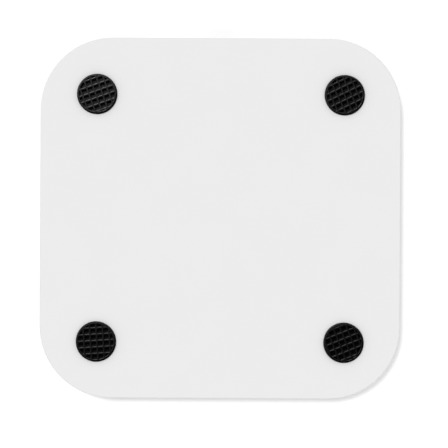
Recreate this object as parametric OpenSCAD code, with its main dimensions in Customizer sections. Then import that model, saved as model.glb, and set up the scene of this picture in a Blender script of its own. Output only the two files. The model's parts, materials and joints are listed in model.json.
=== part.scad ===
// Square wireless charging pad: a two-part case on four rubber feet, with a charging coil on a
// ferrite plate, a drive board beside it and a USB-C inlet in the rear wall.
// Millimetres. +Z is up, +Y is the rear, and the feet stand on z = 0.

/* [Case] */
// Width of the case along X and along Y
pad_w = 90; // [88:1:94]
// Corner radius of the case outline
corner_r = 18; // [16:0.5:20]
// Height of the closed case, without feet and grip ring
case_h = 8.5; // [8.5:0.1:9.5]
// Thickness of the side walls
wall_t = 1.4; // [1.2:0.1:1.6]
// Thickness of the bottom cover's floor
floor_t = 1.5; // [1.4:0.1:1.8]
// Thickness of the top cover's roof
roof_t = 1.4; // [1.2:0.1:1.6]
// Rounding of the edge round the underside
bottom_edge_r = 0.3; // [0.2:0.1:0.9]
// Rounding of the edge round the top face
top_edge_r = 1.2; // [0.6:0.1:1.4]

/* [Feet] */
// Diameter of each foot
foot_d = 10; // [9:0.5:11]
// Distance between foot centres along X and along Y
foot_pitch = 61.8; // [59:0.2:63]
// How far each foot stands out of the underside
foot_proud = 1.0; // [0.8:0.1:1.4]
// Distance between the ribs of a foot's waffle tread
tread_pitch = 1.6; // [1.4:0.1:2]
// Width of each rib of the tread
tread_rib = 0.45; // [0.35:0.05:0.6]
// Depth of the pits between the ribs
tread_depth = 0.35; // [0.2:0.05:0.5]

/* [Grip ring] */
// Radius of the middle of the ring on the top face
ring_r = 31; // [28:0.5:34]
// Width of the ring
ring_w = 2; // [1.6:0.1:2.6]
// How far the ring stands out of the top face
ring_proud = 0.3; // [0.2:0.05:0.5]

/* [Charging coil] */
// Outer diameter of the winding
coil_od = 44; // [42:0.5:46]
// Inner diameter of the winding
coil_id = 20.5; // [19:0.5:21.5]
// Number of turns, with the part turn between the two ends
coil_turns = 9.96; // [8.96:1:9.96]
// Diameter of the litz wire
litz_d = 1.0; // [0.8:0.05:1]
// Diameter of the ferrite plate
ferrite_d = 50; // [48:0.5:50]
// Thickness of the ferrite plate
ferrite_t = 1.2; // [1:0.1:1.3]

/* [Board and inlet] */
// Width of the board along X
board_w = 54; // [52:1:54]
// Thickness of the board
board_t = 1.0; // [0.8:0.1:1.2]
// Outer width of the inlet's metal shell
usb_w = 8.94; // [8.9:0.02:9]
// Outer height of the inlet's metal shell
usb_h = 3.16; // [3.1:0.02:3.2]
// Length of the inlet's metal shell
usb_l = 7.35; // [7:0.05:7.6]

/* [Hidden] */

$fn = 64;
over = 1;            // how far a cutter runs past the face it cuts
slip = 0.02;         // gap round a piece that is pushed or screwed into another

// Heights
underside_z = foot_proud;
floor_top_z = underside_z + floor_t;
top_z = underside_z + case_h;
roof_in_z = top_z - roof_t;

// Feet, and the seats and screws that they cover
foot_x = foot_pitch / 2;
foot_seat_depth = 0.4;
foot_seat_gap = 0.05;
foot_bevel = 0.4;
adhesive_t = 0.15;
adhesive_margin = 0.2;
foot_top_z = underside_z + foot_seat_depth - adhesive_t;
// The feet are punched from a sheet, so each has its own turn and its own nearest rib crossing:
// rear right, rear left, front right, front left
tread_turn = [-20, -26, -4, -22];
tread_shift = [[0.31, 0.67], [0.1, 0.4], [-0.3, 0.2], [-0.56, -0.72]];
tread_edge = 0.1;

// Grip ring, seated in a groove of the top face
ring_seat_depth = 0.5;
ring_round_r = 0.25;

// Case screws
screw_r = 1.0;
screw_head_r = 1.7;
screw_head_h = 1.2;
screw_length = 4.5;
screw_hole_gap = 0.1;
screw_tip_short = 1.0;
head_pocket_gap = 0.2;
screw_seat_z = floor_top_z + 0.3;
boss_meet_z = floor_top_z + 1.5;
lower_boss_r = 3.2;
upper_boss_r = 2.6;
drive_slot_w = 0.4;
drive_slot_depth = 0.6;

// Board, on standoffs behind the coil
standoff_h = 1.0;
standoff_r = 2.0;
board_z = floor_top_z + standoff_h;
board_top_z = board_z + board_t;
board_front_y = 21;
board_rear_y = 42.3;
board_bite_r = ferrite_d / 2 + 2.5;
board_corner_r = 1.5;
board_screw_x = 22.5;
board_screw_y = 39.3;
board_support_y = 24;
board_screw_r = 0.6;
board_screw_head_r = 1.4;
board_screw_head_h = 0.8;
board_screw_length = 2.4;
board_hole_r = 0.8;

// USB-C inlet, in the rear wall
usb_wall_t = 0.3;
usb_recess = 0.4;
usb_mouth_y = pad_w / 2 - usb_recess;
usb_back_y = usb_mouth_y - usb_l;
port_z = board_top_z + usb_h / 2;
port_gap = 0.15;
usb_leg_l = 1.1;
usb_leg_inset = 0.2;
usb_leg_slot_gap = 0.15;
usb_leg_y = [usb_back_y + 1.1, usb_back_y + 3.9];
tongue_w = 6.69;
tongue_t = 0.7;
tongue_recess = 0.7;
tongue_base_l = 1.9;
contact_count = 12;
contact_pitch = 0.5;
contact_w = 0.28;
contact_l = 3.2;
contact_t = 0.05;
contact_inset = 0.2;
tail_l = 0.9;
tail_t = 0.15;

// The covers meet level with the inlet's inner floor, so the top cover is lowered over the socket
split_z = board_top_z + usb_wall_t;
lip_gap = 0.1;
lip_t = 0.7;
lip_h = 1.0;
seam_h = 0.25;
seam_depth = 0.4;

// Status light
led_x = -12;
pipe_r = 0.8;
pipe_gap = 0.05;
pipe_flange_r = 1.3;
pipe_flange_l = 0.9;
pipe_inner_y = 41.5;
led_size = [3, 1.2, 1.6];
led_gap = 0.2;

// Coil stack, from the floor up
lead_t = 0.5;
lead_w = 1.8;
coil_roof_gap = 0.75;
coil_top_z = roof_in_z - coil_roof_gap;
coil_z = coil_top_z - litz_d;
film_t = 0.15;
film_margin = 1.0;
ferrite_z = coil_z - film_t - ferrite_t;
spacer_margin = 1.0;
nest_gap = 0.3;
nest_t = 1.0;
nest_h = 2.7;
nest_opening_w = 18;
steps_per_turn = 32;
coil_start_angle = 90;
coil_pitch = (coil_od / 2 - coil_id / 2 - litz_d) / coil_turns;

// Temperature sensor, under the ferrite in a slot of the foam spacer
sensor_x = -6;
sensor_y = 5;
sensor_r = 0.7;
sensor_l = 2;
sensor_lead_r = 0.15;
sensor_lead_x = 0.3;
sensor_slot_w = 3;

// Board components: size along X, Y and Z, and where they stand
controller_size = [7, 7, 0.9];
controller_at = [-13, 33.5];
transistor_size = [3.3, 3.3, 0.85];
inductor_size = [5, 5, 2.4];
inductor_at = [21.5, 34.3];
resonance_cap_size = [2.5, 3.2, 1.6];
filter_cap_size = [1.25, 2, 1.25];
resistor_size = [0.8, 1.6, 0.45];
crystal_size = [3.2, 2.5, 0.8];
crystal_at = [-5.5, 34];
transistor_at = [10.5, 32];
transistor_step = [4.6, 4.4];
resonance_cap_at = [21.6, 23.6];
resonance_cap_step = [3.4, 4.3];
filter_cap_at = [-25.3, 24];
filter_cap_step = [2.4, 3.2];
resistor_at = [-25.5, 31.5];
resistor_step = [2, 3];
terminal_l = 0.4;    // length of a chip part's metal ends, and how far they stand round its body
terminal_step = 0.05;
lead_land_y = board_bite_r + terminal_l;
lead_land_l = 2.2;
thermal_pad_at = [12.8, 34.2];
thermal_pad_size = [10, 9];

// ---------- shapes shared by several pieces ----------

// Square outline with round corners, centred on the origin
module rounded_square(w, r) {
    square([w, w - 2 * r], center = true);
    square([w - 2 * r, w], center = true);
    for (x = [-1, 1], y = [-1, 1])
        translate([x * (w / 2 - r), y * (w / 2 - r)]) circle(r);
}

// Half section of a slab, from its middle out to its edge, rounded at the bottom or at the top
module slab_section(reach, h, bottom_r, top_r) {
    translate([0, bottom_r]) square([reach, h - bottom_r - top_r]);
    square([reach - max(bottom_r, top_r), h]);
    if (bottom_r > 0) translate([reach - bottom_r, bottom_r]) circle(bottom_r);
    if (top_r > 0) translate([reach - top_r, h - top_r]) circle(top_r);
}

// Slab with a rounded square outline and a rounded bottom or top edge
module case_slab(h, bottom_r, top_r) {
    straight = pad_w - 2 * corner_r;
    for (x = [-1, 1], y = [-1, 1])
        translate([x * straight / 2, y * straight / 2, 0])
            rotate_extrude() slab_section(corner_r, h, bottom_r, top_r);
    for (turn = [0, 90])
        rotate([0, 0, turn]) rotate([90, 0, 0])
            linear_extrude(straight, center = true) {
                slab_section(pad_w / 2, h, bottom_r, top_r);
                mirror([1, 0]) slab_section(pad_w / 2, h, bottom_r, top_r);
            }
}

// Slot outline with round ends, as wide as w and as high as h
module stadium(w, h) {
    square([w - h, h], center = true);
    for (x = [-1, 1]) translate([x * (w - h) / 2, 0]) circle(h / 2);
}

// Runs a flat outline along Y from y0 to y1, at the height of the inlet
module along_y(y0, y1) {
    translate([0, y0, port_z]) rotate([-90, 0, 0]) linear_extrude(y1 - y0) children();
}

// Puts a copy of its child at each of the four feet
module at_feet() {
    for (x = [-1, 1], y = [-1, 1]) translate([x * foot_x, y * foot_x, 0]) children();
}

// Cross recess for a screwdriver, sunk into a head whose face is at z = 0
module drive_cross(reach) {
    for (turn = [0, 90])
        rotate([0, 0, turn])
            translate([-reach, -drive_slot_w / 2, 0]) cube([2 * reach, drive_slot_w, drive_slot_depth]);
}

// Place of part [i, j] in a grid of parts whose first is at start
function grid_place(start, step, i, j) = [start[0] + step[0] * i, start[1] + step[1] * j];

// Box standing on the board with its middle at [x, y]
module on_board(size, at) {
    translate([at[0] - size[0] / 2, at[1] - size[1] / 2, board_top_z]) cube(size);
}

// Chip capacitor or resistor: a body between two wrap-round ends
module chip_part(size, at) {
    end_size = [size[0], terminal_l, size[2]];
    body_size = [size[0] - terminal_step, size[1] - 2 * terminal_l, size[2] - terminal_step];
    on_board(body_size, at);
    for (side = [-1, 1]) on_board(end_size, [at[0], at[1] + side * (size[1] - terminal_l) / 2]);
}

// ---------- case ----------

// Runs a flat outline through the rear wall, at the height of the inlet
module through_rear_wall() {
    along_y(pad_w / 2 - wall_t - 2 * lip_t - over, pad_w / 2 + over) children();
}

// Opening for the inlet
module inlet_opening() {
    through_rear_wall() stadium(usb_w + 2 * port_gap, usb_h + 2 * port_gap);
}

// Opening in the top cover, with straight sides below, so that the cover passes over the socket
module inlet_notch() {
    notch_w = usb_w + 2 * port_gap;
    inlet_opening();
    through_rear_wall() translate([-notch_w / 2, 0]) square([notch_w, port_z]);
}

module light_pipe_hole() {
    through_rear_wall() translate([led_x, 0]) circle(pipe_r + pipe_gap);
}

module lower_bosses() {
    at_feet() translate([0, 0, underside_z + over])
        cylinder(h = boss_meet_z - underside_z - over, r = lower_boss_r);
}

module foot_seats() {
    at_feet() {
        translate([0, 0, underside_z - over])
            cylinder(h = foot_seat_depth + over, r = foot_d / 2 + foot_seat_gap);
        translate([0, 0, underside_z])
            cylinder(h = screw_seat_z - underside_z, r = screw_head_r + head_pocket_gap);
        translate([0, 0, underside_z]) cylinder(h = case_h, r = screw_r + screw_hole_gap);
    }
}

module board_standoffs() {
    for (x = [-1, 1], y = [board_screw_y, board_support_y])
        translate([x * board_screw_x, y, underside_z + over])
            cylinder(h = board_z - underside_z - over, r = standoff_r);
}

module board_screw_holes(r) {
    for (x = [-1, 1])
        translate([x * board_screw_x, board_screw_y, board_top_z - board_screw_length - screw_hole_gap])
            cylinder(h = case_h, r = r);
}

// Low ring wall that keeps the coil stack in the middle, open at the rear for the leads
module coil_nest() {
    inner_r = ferrite_d / 2 + nest_gap;
    difference() {
        translate([0, 0, floor_top_z - floor_t / 2]) cylinder(h = nest_h + floor_t / 2, r = inner_r + nest_t);
        translate([0, 0, floor_top_z - floor_t]) cylinder(h = case_h, r = inner_r);
        translate([-nest_opening_w / 2, 0, floor_top_z]) cube([nest_opening_w, pad_w, case_h]);
    }
}

module bottom_cover() {
    color("gainsboro")
    difference() {
        union() {
            difference() {
                translate([0, 0, underside_z]) case_slab(split_z - underside_z, bottom_edge_r, 0);
                translate([0, 0, floor_top_z])
                    linear_extrude(case_h) rounded_square(pad_w - 2 * wall_t, corner_r - wall_t);
                translate([0, 0, split_z - seam_h]) linear_extrude(case_h) difference() {
                    square(pad_w + over, center = true);
                    rounded_square(pad_w - 2 * seam_depth, corner_r - seam_depth);
                }
            }
            lower_bosses();
            board_standoffs();
            coil_nest();
        }
        foot_seats();
        board_screw_holes(board_screw_r + slip);
        inlet_opening();
    }
}

module top_cover() {
    lip_inset = wall_t + lip_gap;
    inner_inset = lip_inset + lip_t;
    color("gainsboro")
    difference() {
        union() {
            difference() {
                union() {
                    translate([0, 0, split_z]) case_slab(top_z - split_z, 0, top_edge_r);
                    translate([0, 0, split_z - lip_h])
                        linear_extrude(lip_h + over)
                            rounded_square(pad_w - 2 * lip_inset, corner_r - lip_inset);
                }
                translate([0, 0, split_z - lip_h - over])
                    linear_extrude(roof_in_z - split_z + lip_h + over)
                        rounded_square(pad_w - 2 * inner_inset, corner_r - inner_inset);
            }
            at_feet() translate([0, 0, boss_meet_z])
                cylinder(h = roof_in_z + roof_t / 2 - boss_meet_z, r = upper_boss_r);
        }
        at_feet() translate([0, 0, boss_meet_z - over])
            cylinder(h = over + screw_length - screw_tip_short, r = screw_r + slip);
        translate([0, 0, top_z - ring_seat_depth]) rotate_extrude()
            translate([ring_r - ring_w / 2 - slip, 0]) square([ring_w + 2 * slip, case_h]);
        inlet_notch();
        light_pipe_hole();
    }
}

module grip_ring() {
    ring_h = ring_seat_depth + ring_proud;
    color("dimgray")
    translate([0, 0, top_z - ring_seat_depth]) rotate_extrude() translate([ring_r, 0]) {
        translate([-ring_w / 2, 0]) square([ring_w, ring_h - ring_round_r]);
        translate([-ring_w / 2 + ring_round_r, 0]) square([ring_w - 2 * ring_round_r, ring_h]);
        for (side = [-1, 1])
            translate([side * (ring_w / 2 - ring_round_r), ring_h - ring_round_r]) circle(ring_round_r);
    }
}

module light_pipe() {
    color("whitesmoke")
    translate([led_x, 0, 0]) {
        along_y(pipe_inner_y, pad_w / 2 - pipe_gap) circle(pipe_r);
        along_y(pipe_inner_y, pipe_inner_y + pipe_flange_l) circle(pipe_flange_r);
    }
}

// ---------- feet and case screws ----------

// Rubber foot with a waffle tread: i picks its turn and its place on the grid
module foot(i, x, y) {
    tread_r = foot_d / 2 - foot_bevel;
    pit_w = tread_pitch - tread_rib;
    reach = ceil(foot_d / 2 / tread_pitch);
    color([0.13, 0.13, 0.13])
    translate([x * foot_x, y * foot_x, 0]) difference() {
        union() {
            cylinder(h = foot_bevel, r1 = tread_r, r2 = foot_d / 2);
            translate([0, 0, foot_bevel]) cylinder(h = foot_top_z - foot_bevel, r = foot_d / 2);
        }
        translate([0, 0, -over]) linear_extrude(over + tread_depth) intersection() {
            circle(tread_r - tread_edge);
            rotate(tread_turn[i]) translate(tread_shift[i])
                for (u = [-reach : reach], v = [-reach : reach])
                    translate([(u + 0.5) * tread_pitch, (v + 0.5) * tread_pitch])
                        square(pit_w, center = true);
        }
    }
}

module foot_rear_right() { foot(0, 1, 1); }
module foot_rear_left() { foot(1, -1, 1); }
module foot_front_right() { foot(2, 1, -1); }
module foot_front_left() { foot(3, -1, -1); }

module foot_adhesive_discs() {
    color("ivory")
    at_feet() translate([0, 0, foot_top_z]) cylinder(h = adhesive_t, r = foot_d / 2 - adhesive_margin);
}

module case_screws() {
    color("silver")
    at_feet() difference() {
        union() {
            translate([0, 0, screw_seat_z - screw_head_h]) cylinder(h = screw_head_h, r = screw_head_r);
            translate([0, 0, screw_seat_z]) cylinder(h = screw_length, r = screw_r);
        }
        translate([0, 0, screw_seat_z - screw_head_h]) drive_cross(screw_r);
    }
}

// ---------- board and inlet ----------

module main_board() {
    leg_slot = [usb_wall_t + 2 * usb_leg_slot_gap, usb_leg_l + 2 * usb_leg_slot_gap];
    color([0.05, 0.32, 0.18])
    translate([0, 0, board_z]) linear_extrude(board_t) difference() {
        union() {
            translate([-board_w / 2, board_front_y])
                square([board_w, board_rear_y - board_corner_r - board_front_y]);
            translate([-board_w / 2 + board_corner_r, board_front_y])
                square([board_w - 2 * board_corner_r, board_rear_y - board_front_y]);
            for (x = [-1, 1])
                translate([x * (board_w / 2 - board_corner_r), board_rear_y - board_corner_r])
                    circle(board_corner_r);
        }
        circle(board_bite_r);
        for (x = [-1, 1]) translate([x * board_screw_x, board_screw_y]) circle(board_hole_r);
        for (x = [-1, 1], y = usb_leg_y)
            translate([x * (usb_w - usb_wall_t) / 2, y]) square(leg_slot, center = true);
    }
}

module board_screws() {
    color("silver")
    for (x = [-1, 1]) translate([x * board_screw_x, board_screw_y, board_top_z]) difference() {
        union() {
            cylinder(h = board_screw_head_h, r = board_screw_head_r);
            translate([0, 0, -board_screw_length]) cylinder(h = board_screw_length, r = board_screw_r);
        }
        translate([0, 0, board_screw_head_h]) mirror([0, 0, 1]) drive_cross(board_hole_r);
    }
}

module thermal_pad() {
    color("lightsteelblue")
    translate([thermal_pad_at[0], thermal_pad_at[1], floor_top_z + standoff_h / 2])
        cube([thermal_pad_size[0], thermal_pad_size[1], standoff_h], center = true);
}

module usb_socket_shell() {
    color("silver") {
        along_y(usb_back_y, usb_mouth_y) difference() {
            stadium(usb_w, usb_h);
            stadium(usb_w - 2 * usb_wall_t, usb_h - 2 * usb_wall_t);
        }
        for (x = [-1, 1], y = usb_leg_y)
            translate([x * (usb_w - usb_wall_t) / 2, y, (board_z + usb_leg_inset + port_z) / 2])
                cube([usb_wall_t, usb_leg_l, port_z - board_z - usb_leg_inset], center = true);
    }
}

module usb_socket_tongue() {
    inner_w = usb_w - 2 * usb_wall_t - 2 * slip;
    inner_h = usb_h - 2 * usb_wall_t - 2 * slip;
    color([0.1, 0.1, 0.1]) {
        along_y(usb_back_y, usb_back_y + tongue_base_l) stadium(inner_w, inner_h);
        along_y(usb_back_y, usb_mouth_y - tongue_recess) square([tongue_w, tongue_t], center = true);
    }
}

module usb_socket_contacts() {
    contact_y = usb_back_y + tongue_base_l + contact_inset;
    color("gold")
    for (i = [0 : contact_count - 1]) {
        x = (i - (contact_count - 1) / 2) * contact_pitch;
        for (side = [-1, 1])
            translate([x, contact_y + contact_l / 2, port_z + side * (tongue_t + contact_t) / 2])
                cube([contact_w, contact_l, contact_t], center = true);
        translate([x - contact_w / 2, usb_back_y - tail_l, board_top_z]) cube([contact_w, tail_l, tail_t]);
    }
}

// ---------- parts on the board ----------

module controller_chip() {
    color([0.12, 0.12, 0.13]) on_board(controller_size, controller_at);
}

module power_transistors() {
    color([0.12, 0.12, 0.13])
    for (i = [0, 1], j = [0, 1])
        on_board(transistor_size, grid_place(transistor_at, transistor_step, i, j));
}

module resonance_capacitors() {
    color("tan")
    for (i = [0, 1], j = [0, 1])
        chip_part(resonance_cap_size, grid_place(resonance_cap_at, resonance_cap_step, i, j));
}

module input_inductor() {
    color("dimgray") on_board(inductor_size, inductor_at);
}

module filter_capacitors() {
    color("tan")
    for (i = [0 : 2], j = [0, 1])
        chip_part(filter_cap_size, grid_place(filter_cap_at, filter_cap_step, i, j));
}

module chip_resistors() {
    color([0.1, 0.1, 0.1])
    for (i = [0 : 3], j = [0, 1])
        chip_part(resistor_size, grid_place(resistor_at, resistor_step, i, j));
}

module clock_crystal() {
    color("silver") on_board(crystal_size, crystal_at);
}

module status_led() {
    color("white") on_board(led_size, [led_x, pipe_inner_y - led_gap - led_size[1] / 2]);
}

// ---------- coil stack ----------

// Radius of the middle of the litz wire after a number of steps
function coil_radius(step) = coil_id / 2 + litz_d / 2 + coil_pitch * step / steps_per_turn;
// Point at that step, moved out from the middle of the wire by side
function coil_point(step, side) =
    let (angle = coil_start_angle + 360 * step / steps_per_turn, r = coil_radius(step) + side)
    [r * cos(angle), r * sin(angle)];

module coil_winding() {
    steps = round(coil_turns * steps_per_turn);
    outer_edge = [for (i = [0 : steps]) coil_point(i, litz_d / 2)];
    inner_edge = [for (i = [steps : -1 : 0]) coil_point(i, -litz_d / 2)];
    color([0.72, 0.42, 0.22])
    translate([0, 0, coil_z]) linear_extrude(litz_d) polygon(concat(outer_edge, inner_edge));
}

// One flat lead, drawn from the side as a band of even thickness that goes down to the board
module coil_lead(x, start_y, run_z) {
    drop_y = ferrite_d / 2 + nest_gap;
    land_end_y = lead_land_y + lead_land_l;
    translate([x - lead_w / 2, 0, 0]) rotate([90, 0, 90]) linear_extrude(lead_w) polygon([
        [start_y, run_z],
        [drop_y, run_z],
        [lead_land_y, board_top_z],
        [land_end_y, board_top_z],
        [land_end_y, board_top_z + lead_t],
        [lead_land_y + lead_t, board_top_z + lead_t],
        [drop_y + lead_t, run_z + lead_t],
        [start_y, run_z + lead_t]
    ]);
}

module coil_leads() {
    outer_x = coil_point(coil_turns * steps_per_turn, 0)[0];
    color([0.72, 0.42, 0.22]) {
        coil_lead(0, coil_id / 2, coil_top_z + slip);
        coil_lead(outer_x, coil_od / 2, coil_z + slip);
    }
}

module coil_adhesive_film() {
    color("ivory")
    translate([0, 0, coil_z - film_t]) cylinder(h = film_t, r = coil_od / 2 + film_margin);
}

module ferrite_plate() {
    color([0.25, 0.25, 0.27]) translate([0, 0, ferrite_z]) cylinder(h = ferrite_t, r = ferrite_d / 2);
}

module foam_spacer() {
    color([0.35, 0.35, 0.38])
    translate([0, 0, floor_top_z]) linear_extrude(ferrite_z - floor_top_z) difference() {
        circle(ferrite_d / 2 - spacer_margin);
        translate([sensor_x - sensor_slot_w / 2, sensor_y - 1]) square([sensor_slot_w, ferrite_d]);
    }
}

// ---------- temperature sensor ----------

module temperature_sensor() {
    color("saddlebrown")
    translate([sensor_x, sensor_y, ferrite_z - sensor_r])
        rotate([-90, 0, 0]) cylinder(h = sensor_l, r = sensor_r);
}

module sensor_leads() {
    start_y = sensor_y + sensor_l;
    end_y = lead_land_y + lead_land_l;
    color("firebrick")
    for (side = [-1, 1])
        translate([sensor_x + side * sensor_lead_x, start_y, board_top_z + sensor_lead_r])
            rotate([-90, 0, 0]) cylinder(h = end_y - start_y, r = sensor_lead_r);
}

bottom_cover();
top_cover();
grip_ring();
foot_rear_right();
foot_rear_left();
foot_front_right();
foot_front_left();
foot_adhesive_discs();
case_screws();
light_pipe();
main_board();
board_screws();
thermal_pad();
usb_socket_shell();
usb_socket_tongue();
usb_socket_contacts();
controller_chip();
power_transistors();
resonance_capacitors();
input_inductor();
filter_capacitors();
chip_resistors();
clock_crystal();
status_led();
coil_winding();
coil_leads();
coil_adhesive_film();
ferrite_plate();
foam_spacer();
temperature_sensor();
sensor_leads();
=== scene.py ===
import json
import math

import bmesh
import bpy
from mathutils import Matrix, Vector


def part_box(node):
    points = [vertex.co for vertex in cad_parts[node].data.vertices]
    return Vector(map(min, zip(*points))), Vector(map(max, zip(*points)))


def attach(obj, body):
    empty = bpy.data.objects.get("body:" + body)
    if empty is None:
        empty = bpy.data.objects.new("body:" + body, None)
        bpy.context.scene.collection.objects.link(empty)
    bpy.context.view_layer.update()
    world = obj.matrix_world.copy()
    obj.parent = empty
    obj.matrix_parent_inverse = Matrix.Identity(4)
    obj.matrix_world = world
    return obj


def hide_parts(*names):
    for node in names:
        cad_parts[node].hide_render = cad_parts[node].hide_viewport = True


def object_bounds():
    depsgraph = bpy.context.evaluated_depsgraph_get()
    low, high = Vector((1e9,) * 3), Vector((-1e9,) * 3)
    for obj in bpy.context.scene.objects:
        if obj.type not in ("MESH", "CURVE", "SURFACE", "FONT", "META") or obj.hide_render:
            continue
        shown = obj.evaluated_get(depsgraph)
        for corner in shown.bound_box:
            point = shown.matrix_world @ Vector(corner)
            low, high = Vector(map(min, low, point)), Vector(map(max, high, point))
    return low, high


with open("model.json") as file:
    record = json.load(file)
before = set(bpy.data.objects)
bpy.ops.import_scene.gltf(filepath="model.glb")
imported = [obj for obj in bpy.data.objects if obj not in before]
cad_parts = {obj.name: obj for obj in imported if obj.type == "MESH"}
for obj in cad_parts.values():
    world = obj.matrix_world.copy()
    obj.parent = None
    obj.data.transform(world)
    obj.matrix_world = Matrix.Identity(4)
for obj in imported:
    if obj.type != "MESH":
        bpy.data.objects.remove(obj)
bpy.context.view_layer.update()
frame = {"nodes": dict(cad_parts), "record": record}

# Looks of a square wireless charging pad. Metres, +Z up, the pad stands on its feet at z = 0.

mm = 0.001
slotOf = {part["node"]: part["material_slot"] for part in frame["record"]["subparts"]}


def tell(words):
    print("pad:", words, flush=True)


# Node graphs, for finishes and for Geometry Nodes alike

class Wire:
    # an output socket that takes part in sums

    def __init__(self, graph, socket):
        self.graph = graph
        self.socket = socket

    def __add__(self, other):
        return self.graph.maths("ADD", self, other)

    def __radd__(self, other):
        return self.graph.maths("ADD", other, self)

    def __sub__(self, other):
        return self.graph.maths("SUBTRACT", self, other)

    def __rsub__(self, other):
        return self.graph.maths("SUBTRACT", other, self)

    def __mul__(self, other):
        return self.graph.maths("MULTIPLY", self, other)

    def __rmul__(self, other):
        return self.graph.maths("MULTIPLY", other, self)

    def __truediv__(self, other):
        return self.graph.maths("DIVIDE", self, other)

    def __abs__(self):
        return self.graph.maths("ABSOLUTE", self)


class Graph:
    def __init__(self, tree):
        self.tree = tree
        tree.nodes.clear()

    def node(self, kind, settings=None, values=None, out=0):
        # settings are the node's own choices, and values are what its inputs hold or come from
        made = self.tree.nodes.new(kind)
        for key, value in (settings or {}).items():
            setattr(made, key, value)
        for key, value in (values or {}).items():
            if isinstance(value, Wire):
                self.tree.links.new(value.socket, made.inputs[key])
            else:
                made.inputs[key].default_value = value
        return Wire(self, made.outputs[out] if len(made.outputs) else None)

    def maths(self, operation, *values):
        return self.node("ShaderNodeMath", {"operation": operation}, dict(enumerate(values)))

    def vector(self, x=0.0, y=0.0, z=0.0):
        return self.node("ShaderNodeCombineXYZ", values={"X": x, "Y": y, "Z": z})

    def part(self, vector, axis):
        # one coordinate of a vector
        return self.node("ShaderNodeSeparateXYZ", values={0: vector}, out=axis)

    def length(self, vector):
        return self.node("ShaderNodeVectorMath", {"operation": "LENGTH"}, {0: vector}, out="Value")

    def ramp(self, value, low, high):
        # 0 below low, 1 above high, and smooth between
        values = {"Value": value, "From Min": low, "From Max": high}
        return self.node("ShaderNodeMapRange", {"interpolation_type": "SMOOTHSTEP"}, values)

    def mixed(self, factor, first, second):
        # from one colour to another, each a wire or its red, green and blue
        ends = [end if isinstance(end, Wire) else (*end, 1) for end in (first, second)]
        values = {0: factor, 6: ends[0], 7: ends[1]}      # a Mix node takes colours in 6 and 7
        return self.node("ShaderNodeMix", {"data_type": "RGBA"}, values, out=2)


class Finish(Graph):
    # one material: a Principled shader and what feeds it

    def __init__(self, name, **plain):
        self.material = bpy.data.materials.new(name)
        self.material.use_nodes = True
        super().__init__(self.material.node_tree)
        self.place = self.node("ShaderNodeTexCoord", out="Object")
        shader = self.node("ShaderNodeBsdfPrincipled")
        self.node("ShaderNodeOutputMaterial", values={"Surface": shader})
        self.sockets = shader.socket.node.inputs
        for key, value in plain.items():
            self.sockets[key.replace("_", " ")].default_value = value

    def feed(self, name, wire):
        self.tree.links.new(wire.socket, self.sockets[name])

    def grain(self, size, detail=2.0, stretch=(1, 1, 1)):
        # noise whose features are about size across, longer along an axis with a small stretch
        values = {0: self.place, 1: stretch}
        place = self.node("ShaderNodeVectorMath", {"operation": "MULTIPLY"}, values)
        values = {"Vector": place, "Scale": 1 / size, "Detail": detail}
        return self.node("ShaderNodeTexNoise", values=values)

    def shaded(self, mask, tones):
        # a colour from the first tone, where the mask is 0, to the second, where it is 1
        self.feed("Base Color", self.mixed(mask, *tones))

    def spread(self, mask, low, high):
        self.feed("Roughness", low + mask * (high - low))

    def relief(self, height, look):
        values = {"Strength": look["bump"], "Distance": look["depth"], "Height": height}
        self.feed("Normal", self.node("ShaderNodeBump", values=values, out="Normal"))

    def dressed(self, cloud, grain, look):
        # tones that follow the cloud, with a roughness and a relief that follow the grain
        self.shaded(cloud, look["tones"])
        self.spread(grain, *look["roughness"])
        self.relief(grain, look)
        return self.material


# Finishes. Tones are a finish's darkest and lightest colour, roughness is its least and most,
# depth is how deep its relief is, and bump is how strongly the relief shows.

casePlastic = {
    "tones": ((0.79, 0.79, 0.79), (0.81, 0.81, 0.81)),
    "cloud": 14 * mm,
    "grain": 0.11 * mm,
    "roughness": (0.46, 0.56),
    "depth": 0.004 * mm,
    "bump": 0.6,
    "ior": 1.46,
}


def makeCasePlastic():
    finish = Finish("moulded_case_plastic", IOR=casePlastic["ior"])
    cloud = finish.grain(casePlastic["cloud"], detail=3)
    return finish.dressed(cloud, finish.grain(casePlastic["grain"], detail=3), casePlastic)


footRubber = {
    "tones": ((0.0004, 0.0004, 0.0004), (0.0014, 0.0014, 0.0014)),
    "bloom": 2.4 * mm,                   # size of the paler patches
    "bloomGain": 2.0,
    "grain": 0.09 * mm,
    "roughness": (0.52, 0.66),
    "sideRoughness": 1.0,
    "sideFrom": (4.6 * mm, 4.8 * mm),    # a foot's side begins this far from its middle
    "depth": 0.006 * mm,
    "bump": 0.7,
    "specular": 0.3,
}


def makeFootRubber():
    finish = Finish("moulded_foot_rubber", Specular_IOR_Level=footRubber["specular"])
    grain = finish.grain(footRubber["grain"], detail=4)
    bloom = finish.grain(footRubber["bloom"])
    finish.shaded(bloom * grain * footRubber["bloomGain"], footRubber["tones"])
    # the feet mirror each other about both middle planes, so one foot's middle serves all
    low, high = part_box("foot_rear_right")
    across = abs(finish.part(finish.place, "X")) - abs(low.x + high.x) / 2
    along = abs(finish.part(finish.place, "Y")) - abs(low.y + high.y) / 2
    side = finish.ramp(finish.length(finish.vector(across, along)), *footRubber["sideFrom"])
    least, most = footRubber["roughness"]
    tread = least + grain * (most - least)
    finish.feed("Roughness", tread * (1 - side) + footRubber["sideRoughness"] * side)
    finish.relief(grain, footRubber)
    return finish.material


silicone = {
    "tones": ((0.055, 0.056, 0.058), (0.075, 0.076, 0.078)),
    "cloud": 6 * mm,
    "grain": 0.07 * mm,
    "roughness": (0.58, 0.78),
    "depth": 0.008 * mm,
    "bump": 0.7,
    "specular": 0.35,
}


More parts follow.
